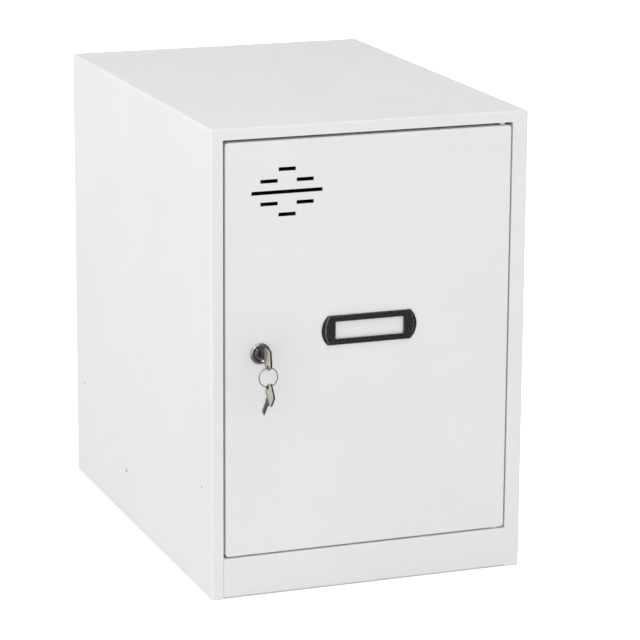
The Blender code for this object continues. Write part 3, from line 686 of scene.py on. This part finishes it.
def add_bearings():
    """The flanged sleeve in the gap above the door, and the washer that the door rests on."""
    sleeve = [(2.1, 0), (3.3, 0), (3.5, 0.2), (3.5, 2.2), (3.3, 2.4), (2.6, 2.4), (2.6, 3.9), (3.2, 3.9)]
    sleeve += [(3.2, 4.8), (2.9, 5.1), (2.1, 5.1)]
    axis = middle("hinge_bush_top")
    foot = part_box("hinge_bush_top")[0][2]
    shapes = [(turned_mesh(mm(sleeve)), Matrix.Translation((axis.x, axis.y, foot)))]
    add_piece("sleeve_flanged", shapes, "carcass", "white_nylon", ["hinge_bush_top"])
    washer = [(2.1, -0.6), (4.0, -0.6), (4.2, -0.4), (4.2, 0.4), (4.0, 0.6), (2.1, 0.6)]
    shapes = [(turned_mesh(mm(washer)), Matrix.Translation(middle("hinge_washer")))]
    add_piece("washer_soft", shapes, "door", "white_nylon", ["hinge_washer"])


add_lock_housing()
add_lock_plug()
add_lock_nut()
add_lock_cam()
add_keys()
add_key_ring()
add_label_frame()
add_label_clips()
add_plinth_joint()
add_bearings()


# --- floor, light and camera ----------------------------------------------------------
FLOOR_SIZE = 12.0
FLOOR_DROP = 0.0002                     # keeps the floor just clear of the feet
FOOT_SHADE = (-0.006, 0.0005)           # the glow rises from inside the foot's edge to just outside it
GLOW_GIVEN, GLOW_SEEN = 0.12, 1.1       # the glow that lights the cabinet, and the one that the camera sees
MIRROR_FADE = (-1.3, -0.5)              # in reflections the floor darkens between these places on X
WHITE = (1.0, 1.0, 1.0, 1.0)


def math_node(tree, operation, first, second=0.0):
    """A Math node; each value may be a number or a socket."""
    made = tree.nodes.new("ShaderNodeMath")
    made.operation = operation
    for socket, value in zip(made.inputs, (first, second)):
        if isinstance(value, (int, float)):
            socket.default_value = value
        else:
            tree.links.new(value, socket)
    return made.outputs["Value"]


def distance_outside(tree, split):
    """How far a point of the floor lies outside the cabinet's foot; it is negative under it."""
    centre = middle("body_wrapper")
    low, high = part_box("body_wrapper")
    outside = []
    for axis, here, size in (("X", centre.x, high[0] - low[0]), ("Y", centre.y, high[1] - low[1])):
        shifted = math_node(tree, "SUBTRACT", split.outputs[axis], here)
        outside.append(math_node(tree, "SUBTRACT", math_node(tree, "ABSOLUTE", shifted), size / 2))
    return math_node(tree, "MAXIMUM", *outside)


def floor_paint():
    """White that glows beyond the cabinet's foot, so that the floor reads as plain white."""
    paint = Shader("studio_white", Roughness=0.9)
    tree = paint.tree
    paint.bsdf.inputs["Emission Color"].default_value = WHITE
    split = paint.node("ShaderNodeSeparateXYZ")
    paint.link(paint.place, split.inputs["Vector"])
    glow = paint.spread(distance_outside(tree, split), 0.0, 1.0, *FOOT_SHADE)
    rays = paint.node("ShaderNodeLightPath")
    seen = paint.spread(rays.outputs["Is Camera Ray"], GLOW_GIVEN, GLOW_SEEN, 0.0, 1.0)
    matt = paint.spread(rays.outputs["Is Glossy Ray"], 1.0, 0.0, 0.0, 1.0)
    strength = math_node(tree, "MULTIPLY", math_node(tree, "MULTIPLY", glow, seen), matt)
    paint.link(strength, paint.bsdf.inputs["Emission Strength"])
    white = paint.blend(paint.noise(0.8, 2.0), (0.80, 0.80, 0.80), (0.79, 0.79, 0.79))
    leftward = paint.spread(split.outputs["X"], 1.0, 0.0, *MIRROR_FADE)
    mirrored = paint.blend(leftward, (0.16, 0.16, 0.16), (0.80, 0.80, 0.80))
    colour = paint.blend(rays.outputs["Is Glossy Ray"], white, mirrored)
    paint.link(colour, paint.bsdf.inputs["Base Color"])
    return paint.material


def add_floor():
    form = bmesh.new()
    bmesh.ops.create_grid(form, x_segments=1, y_segments=1, size=FLOOR_SIZE)
    floor = bpy.data.objects.new("studio_floor", finished_mesh(form, "studio_floor"))
    floor.location.z = -FLOOR_DROP
    bpy.context.scene.collection.objects.link(floor)
    floor.data.materials.append(floor_paint())


def add_world():
    """Plain studio room, brighter to the left; reflections see more contrast, and a brighter ceiling."""
    world = bpy.data.worlds.new("studio")
    bpy.context.scene.world = world
    world.use_nodes = True
    tree = world.node_tree
    seen = tree.nodes["Background"]
    seen.inputs["Color"].default_value = WHITE
    place = tree.nodes.new("ShaderNodeTexCoord")
    rays = tree.nodes.new("ShaderNodeLightPath")

    def glow(base, left, up):
        slope = tree.nodes.new("ShaderNodeVectorMath")
        slope.operation = "DOT_PRODUCT"
        slope.inputs[1].default_value = (-left, 0.0, up)
        tree.links.new(place.outputs["Generated"], slope.inputs[0])
        total = math_node(tree, "ADD", slope.outputs["Value"], base)
        return math_node(tree, "MAXIMUM", total, 0.03)

    matt = glow(base=0.88, left=0.14, up=0.0)
    gloss = glow(base=0.25, left=0.80, up=0.30)
    chosen = tree.nodes.new("ShaderNodeMix")
    tree.links.new(rays.outputs["Is Glossy Ray"], chosen.inputs["Factor"])
    tree.links.new(matt, chosen.inputs["A"])
    tree.links.new(gloss, chosen.inputs["B"])
    room = tree.nodes.new("ShaderNodeBackground")
    room.inputs["Color"].default_value = WHITE
    tree.links.new(chosen.outputs["Result"], room.inputs["Strength"])
    mix = tree.nodes.new("ShaderNodeMixShader")
    tree.links.new(rays.outputs["Is Camera Ray"], mix.inputs["Fac"])
    tree.links.new(room.outputs["Background"], mix.inputs[1])
    tree.links.new(seen.outputs["Background"], mix.inputs[2])
    tree.links.new(mix.outputs["Shader"], tree.nodes["World Output"].inputs["Surface"])


def add_softbox(name, direction, distance, size, glow):
    """An area light aimed at the cabinet; glow is the light it gives there over pi."""
    target = Vector((0.0, 0.0, 0.25))
    light = bpy.data.lights.new(name, "AREA")
    light.shape = "RECTANGLE"
    light.size, light.size_y = size
    light.energy = glow * (math.pi * distance) ** 2
    lamp = bpy.data.objects.new(name, light)
    lamp.location = target + Vector(direction).normalized() * distance
    lamp.rotation_euler = Vector(direction).to_track_quat("Z", "Y").to_euler()
    lamp.visible_camera = False
    bpy.context.scene.collection.objects.link(lamp)


def add_camera():
    """A long lens looking down a little at the left front corner."""
    eye = Vector((-1.146, -3.119, 1.079))
    azimuth, pitch, roll = math.radians(20.65), math.radians(-14.27), math.radians(0.36)
    data = bpy.data.cameras.new("camera")
    data.lens = 173.3
    data.sensor_width = 36.0
    camera = bpy.data.objects.new("camera", data)
    camera.matrix_world = (
        Matrix.Translation(eye)
        @ Matrix.Rotation(-azimuth, 4, "Z")
        @ Matrix.Rotation(math.pi / 2 + pitch, 4, "X")
        @ Matrix.Rotation(roll, 4, "Z")
    )
    bpy.context.scene.collection.objects.link(camera)
    bpy.context.scene.camera = camera


bpy.context.scene.view_settings.view_transform = "Standard"
add_floor()
add_world()
add_softbox("left_softbox", (-0.85, 0.05, 0.50), distance=3.2, size=(0.5, 0.5), glow=0.135)
add_softbox("overhead_softbox", (-0.05, -0.33, 0.94), distance=3.8, size=(1.2, 0.9), glow=0.12)
add_softbox("front_softbox", (-0.25, -0.90, 0.35), distance=3.4, size=(0.8, 0.8), glow=0.08)
add_camera()
